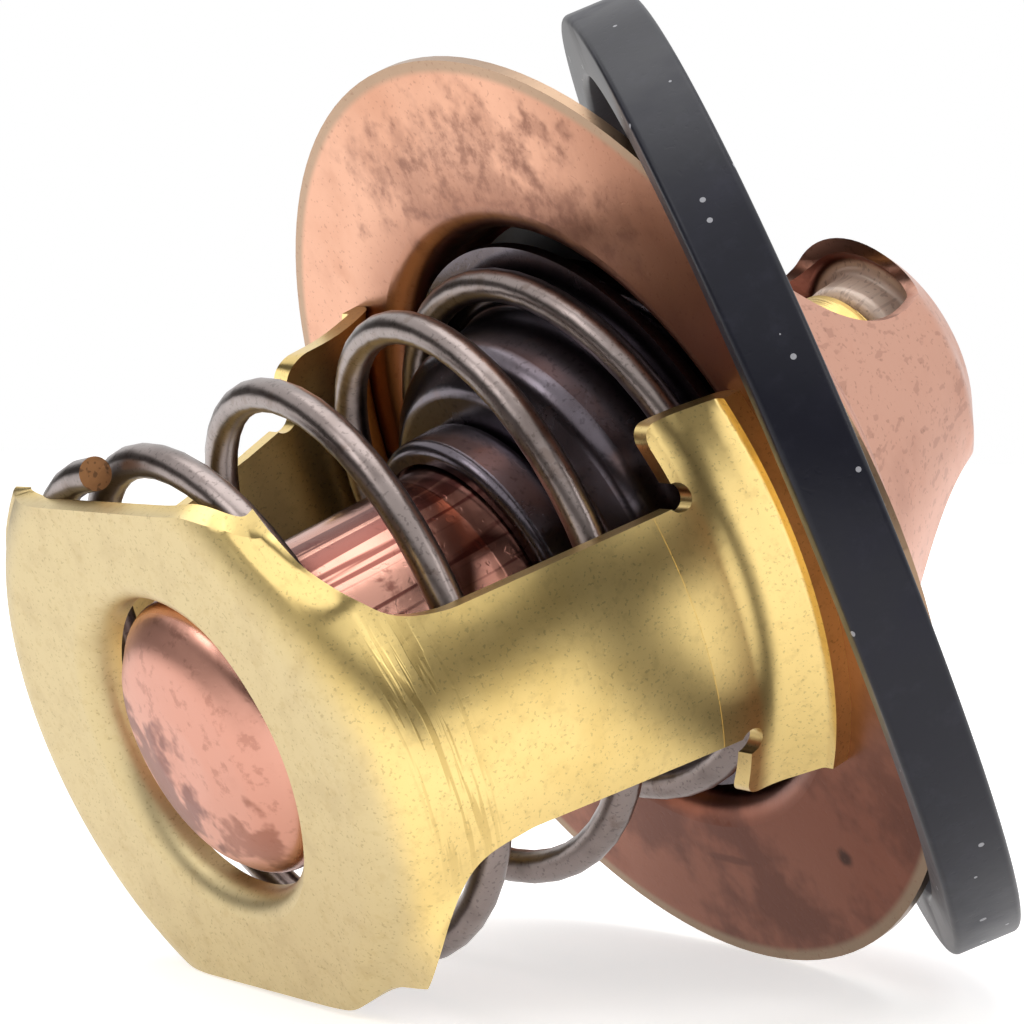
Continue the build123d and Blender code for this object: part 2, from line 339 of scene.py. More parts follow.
# %% Build the measure round the axis
wiring, entry, leave = start_group("axis_measure", [], ["Radius", "Height", "Across", "Along", "Outward"])
place = wiring.add("ShaderNodeTexCoord").outputs["Object"]
in_mm = wiring.add("ShaderNodeVectorMath", operation="SCALE")
wiring.put(in_mm.inputs[0], place)
wiring.put(in_mm.inputs["Scale"], 1 / MM)
parts = wiring.add("ShaderNodeSeparateXYZ", {"Vector": in_mm.outputs[0]}).outputs
flat = wiring.add("ShaderNodeCombineXYZ", {"X": parts["X"], "Y": parts["Y"]}).outputs[0]
reach = wiring.add("ShaderNodeVectorMath", operation="LENGTH")
wiring.put(reach.inputs[0], flat)
away = wiring.add("ShaderNodeVectorMath", operation="NORMALIZE")
wiring.put(away.inputs[0], flat)
facing = wiring.add("ShaderNodeVectorMath", operation="DOT_PRODUCT")
wiring.put(facing.inputs[0], wiring.add("ShaderNodeNewGeometry").outputs["Normal"])
wiring.put(facing.inputs[1], away.outputs[0])
wiring.put(leave["Radius"], reach.outputs["Value"])
wiring.put(leave["Height"], parts["Z"])
wiring.put(leave["Across"], parts["X"])
wiring.put(leave["Along"], parts["Y"])
wiring.put(leave["Outward"], facing.outputs["Value"])
print("groups:", len(bpy.data.node_groups))


# %% Start a finish
class Finish(Wiring):
    """A Principled material whose colour is built up in layers."""

    def __init__(self, name, base, metallic, roughness):
        self.material = bpy.data.materials.new(name)
        self.material.use_nodes = True
        super().__init__(self.material.node_tree)
        self.shader = self.tree.nodes["Principled BSDF"]
        self.shader.inputs["Metallic"].default_value = metallic
        self.shader.inputs["Roughness"].default_value = roughness
        self.layers = base

    def use(self, group, output, **values):
        node = self.add("ShaderNodeGroup", node_tree=bpy.data.node_groups[group])
        for name, value in values.items():
            self.put(node.inputs[name], value)
        return node.outputs[output]

    def measure(self, output):
        return self.use("axis_measure", output)

    def both(self, first, second):
        return self.maths("MULTIPLY", first, second)

    def layer(self, mask, over):
        self.layers = self.blend(mask, self.layers, over)

    def effect(self, group, share, over, **values):
        """A layer of one shared effect, at a share of its full strength."""
        self.layer(self.both(self.use(group, "Mask", **values), share), over)

    def bump(self, height, depth):
        node = self.add("ShaderNodeBump", {"Height": height, "Distance": depth, "Strength": 1.0})
        before = self.shader.inputs["Normal"].links
        if before:
            self.put(node.inputs["Normal"], before[0].from_socket)
        self.put(self.shader.inputs["Normal"], node.outputs["Normal"])

    def finish(self):
        self.put(self.shader.inputs["Base Color"], self.layers)
        return self.material


finishes = {}
print("finish helper ready")

# %% [markdown]
# ## Drawn copper
# The flange, its neck and its crown are one sheet, drawn in a press and never polished. Heat
# and handling leave a peach colour with brown smudges and a grey cut edge. The half of the rim
# nearer the table is browner, partly its own tarnish and partly a painted reflection of dark
# surroundings. Painted shade darkens the rim beside the neck and beside the loose ring and the
# crown's inner faces, and the cup wall at the top of the crown is a painted highlight. One even
# copper would look like paint, so each zone is a layer of its own, laid over the last with a
# soft or ragged mask. The zones' limits are in millimetres.

# %% Mix the copper sheet
RIM_TOP = (1.4, 2.6)
SHADE_BY_NECK = (22.5, 17.2)
RING_SIDE_SHADE = (5.0, 16.0)
LOWER_TARNISH_AND_REFLECTION = (3.0, 17.0)
sheet = Finish("copper_sheet", colour(214, 162, 134), 1.0, 0.33)
height = sheet.measure("Height")
radius = sheet.measure("Radius")
across = sheet.measure("Across")
along = sheet.measure("Along")
outward = sheet.measure("Outward")
sheet.effect("stains", 0.8, colour(188, 132, 102), Scale=48.0, Cover=0.55, Edge=0.3, Seed=1.0)
sheet.effect("stains", 0.35, colour(160, 106, 80), Scale=190.0, Cover=0.5, Edge=0.3, Seed=2.0)
on_rim = sheet.ramp(height, *RIM_TOP, 1.0, 0.0)
# Painted shade: the rim darkens towards the neck, in the corner where the neck rises.
shade_by_neck = sheet.both(sheet.ramp(radius, *SHADE_BY_NECK), on_rim)
sheet.layer(sheet.both(shade_by_neck, 0.75), colour(132, 80, 56))
# Painted shade: the side of the rim beside the loose ring is darker, standing for the shade the ring
# casts there.
far_corner = sheet.both(sheet.ramp(across, *RING_SIDE_SHADE), on_rim)
sheet.layer(sheet.both(far_corner, 0.72), colour(140, 88, 62))
# Partly real tarnish, partly painted reflection: the half of the rim nearer the table is browner, with
# darker ragged patches, standing for the dark surroundings it reflects.
lower_tarnish_and_reflection = sheet.both(sheet.ramp(along, *LOWER_TARNISH_AND_REFLECTION), on_rim)
sheet.layer(sheet.both(lower_tarnish_and_reflection, 0.9), colour(122, 70, 52))
lower_stain_and_reflection = sheet.use("stains", "Mask", Scale=140.0, Cover=0.56, Edge=0.16, Seed=4.0)
sheet.layer(sheet.both(sheet.both(lower_stain_and_reflection, lower_tarnish_and_reflection), 0.6), colour(78, 40, 28))
print("copper layers so far:", len(sheet.tree.nodes))

# %% Smudge the copper sheet
RIM_EDGE = (26.1, 26.6)
SCRATCH_STRETCH = (0.14, 1.2, 0.3)
DARK_SPOT = Vector((12.2, 19.0, -0.3)) * MM
SCRATCH_PLACE = Vector((0.8, 20.8, -0.3)) * MM
# Each smudge has its centre, its stretch, its radius and its strength.
smudges = [
    ((0.0, -19.2, -0.3), (0.9, 1.35, 0.3), 9.5, 0.8),
    ((6.5, -17.4, -0.3), (0.8, 1.4, 0.3), 7.5, 0.7),
    ((-8.0, -20.8, -0.3), (1.0, 1.5, 0.3), 5.0, 0.5),
]
broken = sheet.use("stains", "Mask", Scale=950.0, Cover=0.66, Edge=0.42, Seed=7.0)
for centre, stretch, size, strength in smudges:
    centre = [value * MM for value in centre]
    spot = sheet.use("spot", "Mask", Centre=centre, Stretch=stretch, Radius=size * MM, Ragged=0.9)
    spot = sheet.both(sheet.both(spot, sheet.ramp(broken, 0.0, 1.0, 0.35, 1.0)), strength)
    sheet.layer(spot, colour(124, 80, 62))
dark_spot = sheet.use("spot", "Mask", Centre=DARK_SPOT, Radius=0.8 * MM, Ragged=0.4)
sheet.layer(dark_spot, colour(66, 34, 20))
long_scratch = {"Centre": SCRATCH_PLACE, "Stretch": SCRATCH_STRETCH, "Radius": 0.4 * MM}
sheet.effect("spot", 0.7, colour(92, 52, 38), **long_scratch, Ragged=0.25)
rim_edge = sheet.ramp(radius, *RIM_EDGE)
sheet.layer(sheet.both(sheet.both(rim_edge, on_rim), 0.75), colour(150, 132, 108))
print("smudges:", len(smudges))

# %% Colour the crown
CROWN_FOOT = (3.0, 6.0)
CUP_FOOT = (15.0, 16.0)
CUP_WALL = (5.7, 6.2)
in_crown = sheet.ramp(height, *CROWN_FOOT)
# Painted shade: the crown's faces that turn towards the axis are painted darker.
shaded_inside = sheet.both(sheet.ramp(outward, -0.25, 0.1, 1.0, 0.0), in_crown)
sheet.layer(sheet.both(in_crown, 0.75), colour(206, 154, 134))
crown_cloud = sheet.use("stains", "Mask", Scale=120.0, Cover=0.5, Edge=0.3, Seed=8.0)
sheet.layer(sheet.both(sheet.both(crown_cloud, in_crown), 0.45), colour(160, 104, 82))
sheet.layer(sheet.both(shaded_inside, 0.85), colour(128, 66, 50))
# Painted highlight: the cup wall at the top of the crown is near-white and nearly non-metallic, so that
# diffuse light makes it read as brightly lit copper.
lit_cup_wall = sheet.both(sheet.ramp(height, *CUP_FOOT), sheet.ramp(radius, *CUP_WALL, 1.0, 0.0))
sheet.layer(lit_cup_wall, colour(252, 226, 206))
sheet.put(sheet.shader.inputs["Metallic"], sheet.ramp(lit_cup_wall, 0.0, 1.0, 1.0, 0.1))
drawn_lines = sheet.use("scratches", "Mask", Scale=1500.0, Stretch=(1, 1, 0.06), Cover=0.42, Seed=2.0)
sheet.layer(sheet.both(sheet.both(drawn_lines, in_crown), 0.25), colour(120, 70, 56))
sheet.effect("pits", 0.3, colour(120, 76, 56), Scale=3200.0, Cover=0.22)
roughness = sheet.use("stains", "Mask", Scale=160.0, Cover=0.55, Edge=0.4, Seed=9.0)
sheet.put(sheet.shader.inputs["Roughness"], sheet.ramp(roughness, 0.0, 1.0, 0.3, 0.46))
sheet.bump(sheet.use("pits", "Height", Scale=2600.0, Cover=0.25), 10 * MICRON)
finishes["copper_sheet"] = sheet.finish()
print("copper nodes:", len(sheet.tree.nodes))

# %% [markdown]
# ## The capsule's copper
# The capsule is drawn deeper and rubbed bright by the tool, then it hangs in hot water. Its
# wall shows straight draw lines and purple-brown heat marks, and its end is a matt pink. It is
# also darker towards its top, where it enters the collar.

# %% Mix the capsule's copper
CAPSULE_END = (-26.2, -25.4)
CAPSULE_WALL = (-25.6, -24.8)
DARKER_TOP = (-15.5, -12.0)
MATT_END = (-26.6, -25.2)
LEFT_MARK = Vector((-3.8, 1.8, -27.5)) * MM
RIGHT_MARK = Vector((3.5, 5.5, -27.2)) * MM
cup = Finish("copper_cup", colour(206, 152, 134), 1.0, 0.26)
height = cup.measure("Height")
on_end = cup.ramp(height, *CAPSULE_END, 1.0, 0.0)
cup.effect("stains", 0.4, colour(188, 134, 116), Scale=330.0, Cover=0.5, Edge=0.25, Seed=3.0)
cup.effect("spot", 0.75, colour(108, 66, 62), Centre=LEFT_MARK, Radius=4.2 * MM, Ragged=1.3)
cup.effect("spot", 0.6, colour(126, 74, 56), Centre=RIGHT_MARK, Radius=3.0 * MM, Ragged=1.5)
broken = cup.use("stains", "Mask", Scale=1100.0, Cover=0.46, Edge=0.12, Seed=5.0)
cup.layer(cup.both(cup.both(broken, on_end), 0.35), colour(140, 88, 72))
draw_lines = cup.use("scratches", "Mask", Scale=1300.0, Stretch=(1, 1, 0.025), Cover=0.66, Seed=6.0)
on_wall = cup.ramp(height, *CAPSULE_WALL)
cup.layer(cup.both(cup.both(draw_lines, on_wall), 0.85), colour(96, 42, 38))
wall_blots = cup.use("stains", "Mask", Scale=420.0, Cover=0.42, Edge=0.1, Seed=16.0)
cup.layer(cup.both(cup.both(wall_blots, on_wall), 0.7), colour(104, 50, 44))
# Darker towards the top of the capsule, where it enters the collar.
darker_top = cup.both(cup.ramp(height, *DARKER_TOP), 0.55)
cup.layer(darker_top, colour(96, 48, 42))
cup.put(cup.shader.inputs["Roughness"], cup.ramp(height, *MATT_END, 0.42, 0.2))
cup.bump(cup.use("pits", "Height", Scale=1900.0, Cover=0.3), 16 * MICRON)
finishes["copper_cup"] = cup.finish()
print("capsule nodes:", len(cup.tree.nodes))

# %% [markdown]
# ## Pressed brass
# The yoke is stamped from brass sheet and folded. The flat of its base is a paler, matt
# yellow, while the arms keep the colour of the rolled sheet. The press leaves fine lines
# across the fold, so those are bumps in a narrow band there and nowhere else.

# %% Mix the brass sheet
PLATE = (-26.2, -24.6)
brass = Finish("brass_sheet", colour(236, 208, 138), 1.0, 0.3)
height = brass.measure("Height")
across = brass.measure("Across")
on_base = brass.ramp(height, *PLATE, 1.0, 0.0)
brass.effect("stains", 0.5, colour(204, 172, 98), Scale=85.0, Cover=0.52, Edge=0.3, Seed=11.0)
brass.layer(brass.both(on_base, 0.9), colour(200, 184, 144))
base_stain = brass.use("stains", "Mask", Scale=420.0, Cover=0.55, Edge=0.25, Seed=13.0)
brass.layer(brass.both(brass.both(base_stain, on_base), 0.4), colour(184, 164, 124))
brass.effect("stains", 0.2, colour(172, 144, 92), Scale=1500.0, Cover=0.5, Edge=0.2, Seed=15.0)
brass.effect("pits", 0.3, colour(124, 102, 64), Scale=5200.0, Cover=0.24)
print("brass layers so far:", len(brass.tree.nodes))

# %% Add the press marks
FOLD_FOOT = (-24.4, -23.2)
FOLD_TOP = (-21.4, -19.6)
NEAR_ARM = (15.0, 17.5)
MATT_BASE = (-26.4, -23.0)
fold_band = brass.both(brass.ramp(height, *FOLD_FOOT), brass.ramp(height, *FOLD_TOP, 1.0, 0.0))
near_side = brass.ramp(across, *NEAR_ARM)
tool_lines = brass.use("scratches", "Mask", Scale=2600.0, Stretch=(0.1, 0.06, 1), Cover=0.62, Seed=14.0)
tool_mask = brass.both(brass.both(tool_lines, fold_band), near_side)
brass.layer(brass.both(tool_mask, 0.45), colour(160, 130, 66))
brass.put(brass.shader.inputs["Roughness"], brass.ramp(height, *MATT_BASE, 0.46, 0.28))
brass.bump(brass.use("pits", "Height", Scale=2600.0, Cover=0.2), 6 * MICRON)
brass.bump(tool_mask, 6 * MICRON)
finishes["brass_sheet"] = brass.finish()

turned = Finish("turned_brass", colour(214, 186, 118), 1.0, 0.3)
rings = turned.use("scratches", "Mask", Scale=2400.0, Stretch=(0.06, 0.06, 1), Cover=0.6, Seed=21.0)
turned.layer(turned.both(rings, 0.4), colour(150, 120, 62))
turned.effect("stains", 0.5, colour(168, 130, 74), Scale=300.0, Cover=0.5, Edge=0.2)
turned.put(turned.shader.inputs["Roughness"], turned.ramp(rings, 0.0, 1.0, 0.26, 0.42))
turned.bump(rings, 10 * MICRON)
finishes["turned_brass"] = turned.finish()
print("brass nodes:", len(brass.tree.nodes), "turned:", len(turned.tree.nodes))

# %% [markdown]
# ## Steels
# Three steels meet here. The spring wire is a dull grey with brown blots, and rusty where it
# was cut. The dishes and the rolled collar are pressed and heat-blackened, with a faint
# violet cast. The rod is ground bright. Each steel needs its own roughness map, because a
# wire and a dish of one even gloss would look like the same grey plastic.

# %% Mix the steels
wire = Finish("spring_steel", colour(146, 134, 130), 1.0, 0.34)
wire.effect("stains", 0.6, colour(92, 80, 75), Scale=180.0, Cover=0.54, Edge=0.25, Seed=31.0)
wire.effect("stains", 0.35, colour(100, 78, 64), Scale=500.0, Cover=0.42, Edge=0.1, Seed=32.0)
wire.effect("pits", 0.35, colour(60, 52, 48), Scale=4200.0, Cover=0.3)
wire_rough = wire.use("stains", "Mask", Scale=420.0, Cover=0.5, Edge=0.4, Seed=33.0)
wire.put(wire.shader.inputs["Roughness"], wire.ramp(wire_rough, 0.0, 1.0, 0.3, 0.45))
wire.bump(wire.use("pits", "Height", Scale=2600.0, Cover=0.3), 12 * MICRON)
finishes["spring_steel"] = wire.finish()

cut = Finish("wire_cut", colour(168, 120, 78), 0.7, 0.5)
cut.layer(cut.use("stains", "Mask", Scale=900.0, Cover=0.5, Edge=0.3, Seed=34.0), colour(120, 92, 72))
cut.effect("pits", 0.6, colour(84, 60, 44), Scale=3000.0, Cover=0.4)
cut.bump(cut.use("pits", "Height", Scale=2000.0, Cover=0.4), 30 * MICRON)
finishes["wire_cut"] = cut.finish()

dark = Finish("dark_steel", colour(104, 97, 104), 1.0, 0.26)
dark.effect("stains", 0.8, colour(70, 60, 62), Scale=110.0, Cover=0.54, Edge=0.25, Seed=41.0)
dark.effect("stains", 0.4, colour(112, 84, 74), Scale=240.0, Cover=0.44, Edge=0.14, Seed=42.0)
dark.effect("pits", 0.35, colour(44, 38, 40), Scale=3600.0, Cover=0.3)
dark_rough = dark.use("stains", "Mask", Scale=300.0, Cover=0.5, Edge=0.4, Seed=43.0)
dark.put(dark.shader.inputs["Roughness"], dark.ramp(dark_rough, 0.0, 1.0, 0.24, 0.42))
dark.bump(dark.use("pits", "Height", Scale=1500.0, Cover=0.2), 12 * MICRON)
finishes["dark_steel"] = dark.finish()

rod = Finish("piston_steel", colour(205, 206, 208), 1.0, 0.2)
grinding = rod.use("scratches", "Mask", Scale=3000.0, Stretch=(0.05, 0.05, 1), Cover=0.6, Seed=51.0)
rod.layer(rod.both(grinding, 0.4), colour(150, 150, 152))
rod.put(rod.shader.inputs["Roughness"], rod.ramp(grinding, 0.0, 1.0, 0.16, 0.34))
rod.bump(grinding, 6 * MICRON)
finishes["piston_steel"] = rod.finish()
print("steels:", [name for name in finishes if "steel" in name or "wire" in name])

# %% [markdown]
# ## Rubber, wax and plastic
# The loose ring is a satin blue-black rubber with a thin grey bloom, and it collects pale
# dust in two sizes. One noise for both would give specks of one size only, so the dust is
# drawn twice from cells. The inner pieces are hidden in the assembly, but a reader who takes
# the part apart sees them.

# %% Mix the soft materials
ring = Finish("ring_rubber", colour(10, 11, 26), 0.0, 0.34)
ring.shader.inputs["Specular IOR Level"].default_value = 0.32
haze = ring.use("stains", "Mask", Scale=90.0, Cover=0.52, Edge=0.3, Seed=61.0)
ring.layer(ring.both(haze, 0.5), colour(24, 24, 42))
ring.effect("stains", 0.3, colour(48, 48, 62), Scale=600.0, Cover=0.5, Edge=0.3, Seed=62.0)
dusty = ring.use("dust", "Mask", Scale=1300.0, Size=0.2, Share=0.07)
coarse_dust = ring.use("dust", "Mask", Scale=560.0, Size=0.12, Share=0.08)
all_dust = ring.maths("MAXIMUM", dusty, coarse_dust)
ring.layer(ring.both(all_dust, 0.7), colour(198, 198, 204))
ring.put(ring.shader.inputs["Roughness"], ring.ramp(haze, 0.0, 1.0, 0.38, 0.52))
ring.bump(ring.use("pits", "Height", Scale=2400.0, Cover=0.2), 14 * MICRON)
ring.bump(all_dust, 40 * MICRON)
finishes["ring_rubber"] = ring.finish()

seal = Finish("seal_rubber", colour(46, 46, 50), 0.0, 0.5)
seal.effect("stains", 0.5, colour(66, 66, 70), Scale=250.0, Cover=0.5, Edge=0.3, Seed=63.0)
seal.effect("dust", 0.5, colour(170, 170, 172), Scale=900.0, Size=0.1, Share=0.1)
seal.bump(seal.use("pits", "Height", Scale=2400.0, Cover=0.3), 12 * MICRON)
finishes["seal_rubber"] = seal.finish()

wax = Finish("wax", colour(228, 216, 180), 0.0, 0.5)
wax.layer(wax.use("stains", "Mask", Scale=260.0, Cover=0.5, Edge=0.3, Seed=71.0), colour(208, 190, 146))
wax.effect("pits", 0.6, colour(190, 130, 84), Scale=3600.0, Cover=0.5)
wax.bump(wax.use("pits", "Height", Scale=1500.0, Cover=0.3), 30 * MICRON)
finishes["wax"] = wax.finish()

plastic = Finish("washer_plastic", colour(236, 236, 230), 0.0, 0.3)
aged = plastic.use("stains", "Mask", Scale=300.0, Cover=0.5, Edge=0.3, Seed=81.0)
plastic.layer(aged, colour(222, 220, 210))
plastic.bump(plastic.use("pits", "Height", Scale=2400.0, Cover=0.1), 6 * MICRON)
finishes["washer_plastic"] = plastic.finish()
print("finishes:", sorted(finishes))

# %% Put each finish on its nodes
slot_of = {}
for row in frame["record"]["subparts"]:
    slot_of[row["node"]] = row["material_slot"]
for name, node in frame["nodes"].items():
    node.data.materials.clear()
    node.data.materials.append(finishes[slot_of[name]])
print("dressed:", len(slot_of), "nodes")

# %% [markdown]
# ## Worn and bent pieces
# A real yoke is a little out of true after its folding, and the capsule's end is pressed out
# a touch, where the drawing has even arcs. A fresh mesh could repeat the whole drawing, but a
# copy of the node whose points are eased by a smooth rule keeps every hole and edge in place.
# The copy's loose triangles are merged first, so that its shading runs on over the bends.


# %% Make an eased copy of a node
def smoothstep(value, start, end):
    share = np.clip((value - start) / (end - start), 0, 1)
    return share * share * (3 - 2 * share)


def eased_copy(node_name, piece_name, ease, sharp_degrees=35):
    """A merged copy of a node's mesh with its points, in millimetres, moved by ease."""
    node = frame["nodes"][node_name]
    mesh = node.data.copy()
    mesh.name = piece_name
    shape = bmesh.new()
    shape.from_mesh(mesh)
    bmesh.ops.remove_doubles(shape, verts=shape.verts, dist=0.001 * MM)
    shape.to_mesh(mesh)
    shape.free()
    if "custom_normal" in mesh.attributes:
        mesh.attributes.remove(mesh.attributes["custom_normal"])
    points = np.empty(len(mesh.vertices) * 3, np.float64)
    mesh.vertices.foreach_get("co", points)
    points = points.reshape(-1, 3) / MM
    ease(points)
    mesh.vertices.foreach_set("co", (points * MM).ravel())
    mesh.shade_smooth()
    mesh.set_sharp_from_angle(angle=math.radians(sharp_degrees))
    mesh.update()
    piece = bpy.data.objects.new(piece_name, mesh)
    bpy.context.scene.collection.objects.link(piece)
    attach(piece, body_of(node)[0])
    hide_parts(node_name)
    print(piece_name, "has", len(mesh.polygons), "faces")


# %% Ease the yoke
BASE_SHIFT = 1.3
CORNER_SHIFT = 1.9
CORNER_FLATTENING = 0.8
NEAR_FOLD_MIDDLE = -1.0
UPPER_TAPER = 0.15
LOWER_TAPER = 0.1
PLATE_TAPER = 0.03
FAR_HEAD_DROP = 1.1
PLATE_HEIGHT = -25.9
PLATE_SLOPE_ACROSS = 0.039
PLATE_SLOPE_ALONG = -0.05


def ease_yoke(points):
    """The base moves outwards, its corners lie flatter, and the far head hangs lower."""
    across, along, height = points.T.copy()
    plate = PLATE_HEIGHT + PLATE_SLOPE_ACROSS * across + PLATE_SLOPE_ALONG * along
    base = smoothstep(height, -23.5, -26.0)
    near_fold = smoothstep(across, 6.5, 11.0)
    low = smoothstep(height, -19.0, -23.0)
    corner = near_fold * smoothstep(np.abs(along), 8.0, 12.5)
    above_plate = np.maximum(height - plate, 0) * low
    taper = np.where(along < NEAR_FOLD_MIDDLE, UPPER_TAPER, LOWER_TAPER)
    far_corner = smoothstep(across, -7.0, -11.0) * smoothstep(np.abs(along), 8.0, 11.5)
    far_head = smoothstep(across, -10.0, -15.0) * smoothstep(height, -11.0, -7.0)
    far_head *= smoothstep(height, -0.8, -4.0)
    points[:, 0] -= BASE_SHIFT * base * smoothstep(across, 8.0, -6.0)
    points[:, 0] += CORNER_SHIFT * corner * smoothstep(above_plate, 0, 3.0)
    points[:, 1] -= (along - NEAR_FOLD_MIDDLE) * taper * near_fold * low
    points[:, 1] -= along * PLATE_TAPER * base * (1 - near_fold) * (along < 0)
    points[:, 2] -= CORNER_FLATTENING * above_plate * np.maximum(corner, far_corner)
    points[:, 2] -= FAR_HEAD_DROP * far_head


eased_copy("lower_frame", "folded_yoke", ease_yoke)

# %% Ease the capsule
END_BULGE = 0.062
END_STRETCH = 1.1


def ease_capsule(points):
    """The drawn end is a little wider and longer than its neck."""
    height = points[:, 2]
    bulge = 1 + END_BULGE * smoothstep(height, -19.0, -25.5)
    points[:, 0] *= bulge
    points[:, 1] *= bulge
    points[:, 2] -= END_STRETCH * smoothstep(height, -18.0, -24.0)


eased_copy("capsule_cup", "drawn_capsule", ease_capsule)

# %% [markdown]
# ## The sealing ring
# The loose ring is moulded rubber with a plain rectangular section and soft corners. Its CAD
# mesh shows its steps along those corners, so the ring is swept again with more of them, on
# the axis that the CAD points give.


# %% Find the ring's axis and sweep its section
def ring_axis(node):
    """A ring's middle, its axis, two directions in its plane, its radii and thickness."""
    points = np.array([vertex.co for vertex in node.data.vertices])
    middle = (points.min(axis=0) + points.max(axis=0)) / 2
    for _ in range(3):
        spread = points - middle
        normal = np.linalg.eigh(spread.T @ spread)[1][:, 0]
        side = np.cross(normal, (0, 1, 0))
        side /= np.linalg.norm(side)
        other = np.cross(normal, side)
        for direction in (normal, side, other):
            reach = spread @ direction
            middle = middle + direction * (reach.max() + reach.min()) / 2
            spread = points - middle
    radii_found = np.hypot(spread @ side, spread @ other)
    thickness = np.ptp(spread @ normal)
    return middle, normal, side, other, radii_found.min(), radii_found.max(), thickness


middle, normal, side, other, inner, outer, thickness = ring_axis(frame["nodes"]["sealing_ring"])
print("ring", round(inner / MM, 2), "to", round(outer / MM, 2), "mm")

RING_STEPS = 288
RING_SHARP_DEGREES = 40
CORNER_RADIUS = 0.35 * MM
CORNER_STEPS = 6
section_points = []
corners = ((outer, 1, 0), (inner, 1, 90), (inner, -1, 180), (outer, -1, 270))
for reach, level, start in corners:
    inward = CORNER_RADIUS if reach == outer else -CORNER_RADIUS
    for step in range(CORNER_STEPS + 1):
        turn = math.radians(start + 90 * step / CORNER_STEPS)
        from_axis = reach - inward + CORNER_RADIUS * math.cos(turn)
        from_middle = level * (thickness / 2 - CORNER_RADIUS) + CORNER_RADIUS * math.sin(turn)
        section_points.append((from_axis, from_middle))
ring_points = []
for step in range(RING_STEPS):
    turn = 2 * math.pi * step / RING_STEPS
    outward = side * math.cos(turn) + other * math.sin(turn)
    for reach, level in section_points:
        ring_points.append(tuple(middle + outward * reach + normal * level))
ring_faces = []
count = len(section_points)
for step in range(RING_STEPS):
    here = step * count
    there = (step + 1) % RING_STEPS * count
    for index in range(count):
        following = (index + 1) % count
        ring_faces.append((here + index, there + index, there + following, here + following))
ring_mesh = bpy.data.meshes.new("rubber_ring")
ring_mesh.from_pydata(ring_points, [], ring_faces)
ring_mesh.materials.append(finishes["ring_rubber"])
ring_mesh.shade_smooth()
ring_mesh.set_sharp_from_angle(angle=math.radians(RING_SHARP_DEGREES))
rubber_ring = bpy.data.objects.new("rubber_ring", ring_mesh)
bpy.context.scene.collection.objects.link(rubber_ring)
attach(rubber_ring, "frame")
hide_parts("sealing_ring")
print("ring faces:", len(ring_faces))

# %% [markdown]
# ## The return spring
# The coil is one steel wire: a close turn on the base plate, about two and a half open turns
# and a flat end against the valve. A screw modifier gives only an even pitch, so the
# wire's line is worked out here turn by turn and Geometry Nodes sweep the round section
# along it. The spring replaces the CAD one; in the real part it shortens as the valve opens.

# %% Work out the wire's line
WIRE_RADIUS = 0.9 * MM
START_ANGLE = math.radians(-102)
POINTS_PER_TURN = 48
SMOOTHING = 0.1
# Each mark has its turn, counted from the foot, and a value in millimetres or a slope.
TURN_HEIGHTS = ((0, -24.7), (1, -22.75), (2, -15.0), (3, -6.3), (3.65, -0.95), (4.4, -0.75))
FOOT_RADII = ((-0.1, 13.4), (0.08, 16.4), (0.25, 15.6), (0.5, 14.3), (0.7, 14.3))
TURN_RADII = (*FOOT_RADII, (1, 14.7), (2, 14.8), (3.65, 14.6), (4.4, 14.5))
TURN_LEAN = ((0, -0.05), (1.5, -0.06), (2.5, -0.035), (3.65, 0), (4.4, 0))
LEAN_START = -14.0

turns = np.linspace(0, TURN_HEIGHTS[-1][0], int(TURN_HEIGHTS[-1][0] * POINTS_PER_TURN) + 1)


def smooth_profile(marks):
    """The values between the marks, with each corner rounded over a small share of a turn."""
    at_turns, values = zip(*marks)
    total = np.zeros_like(turns)
    shifts = np.linspace(-SMOOTHING, SMOOTHING, 9)
    for shift in shifts:
        total += np.interp(turns + shift, at_turns, values)
    return total / len(shifts)


angles = START_ANGLE - 2 * math.pi * turns
radii = smooth_profile(TURN_RADII)
wire_x = radii * np.cos(angles)
wire_y = radii * np.sin(angles)
wire_z = smooth_profile(TURN_HEIGHTS) + smooth_profile(TURN_LEAN) * (wire_y - LEAN_START)
wire_points = np.stack([wire_x, wire_y, wire_z], axis=1) * MM
wire_length = np.linalg.norm(np.diff(wire_points, axis=0), axis=1).sum()
print("wire length:", round(float(wire_length) / MM), "mm")

# %% Build the sweep in Geometry Nodes
sweep = bpy.data.node_groups.new("round_wire", "GeometryNodeTree")
sweep.interface.new_socket("Geometry", in_out="INPUT", socket_type="NodeSocketGeometry")
radius_socket = sweep.interface.new_socket("Wire radius", in_out="INPUT", socket_type="NodeSocketFloat")
sides_socket = sweep.interface.new_socket("Sides", in_out="INPUT", socket_type="NodeSocketInt")
finish_socket = sweep.interface.new_socket("Finish", in_out="INPUT", socket_type="NodeSocketMaterial")
sweep.interface.new_socket("Geometry", in_out="OUTPUT", socket_type="NodeSocketGeometry")
wires = Wiring(sweep)
entry = sweep.nodes.new("NodeGroupInput").outputs
line = wires.add("GeometryNodeMeshToCurve", {"Mesh": entry["Geometry"]}).outputs[0]
section = wires.add("GeometryNodeCurvePrimitiveCircle", {"Radius": entry["Wire radius"]})
wires.put(section.inputs["Resolution"], entry["Sides"])
tube = wires.add("GeometryNodeCurveToMesh", {"Curve": line, "Profile Curve": section.outputs[0]})
tube.inputs["Fill Caps"].default_value = True
real = wires.add("GeometryNodeRealizeInstances", {"Geometry": tube.outputs[0]}).outputs[0]
painted = wires.add("GeometryNodeSetMaterial", {"Geometry": real, "Material": entry["Finish"]})
wires.put(sweep.nodes.new("NodeGroupOutput").inputs["Geometry"], painted.outputs[0])
print("sweep nodes:", len(sweep.nodes))

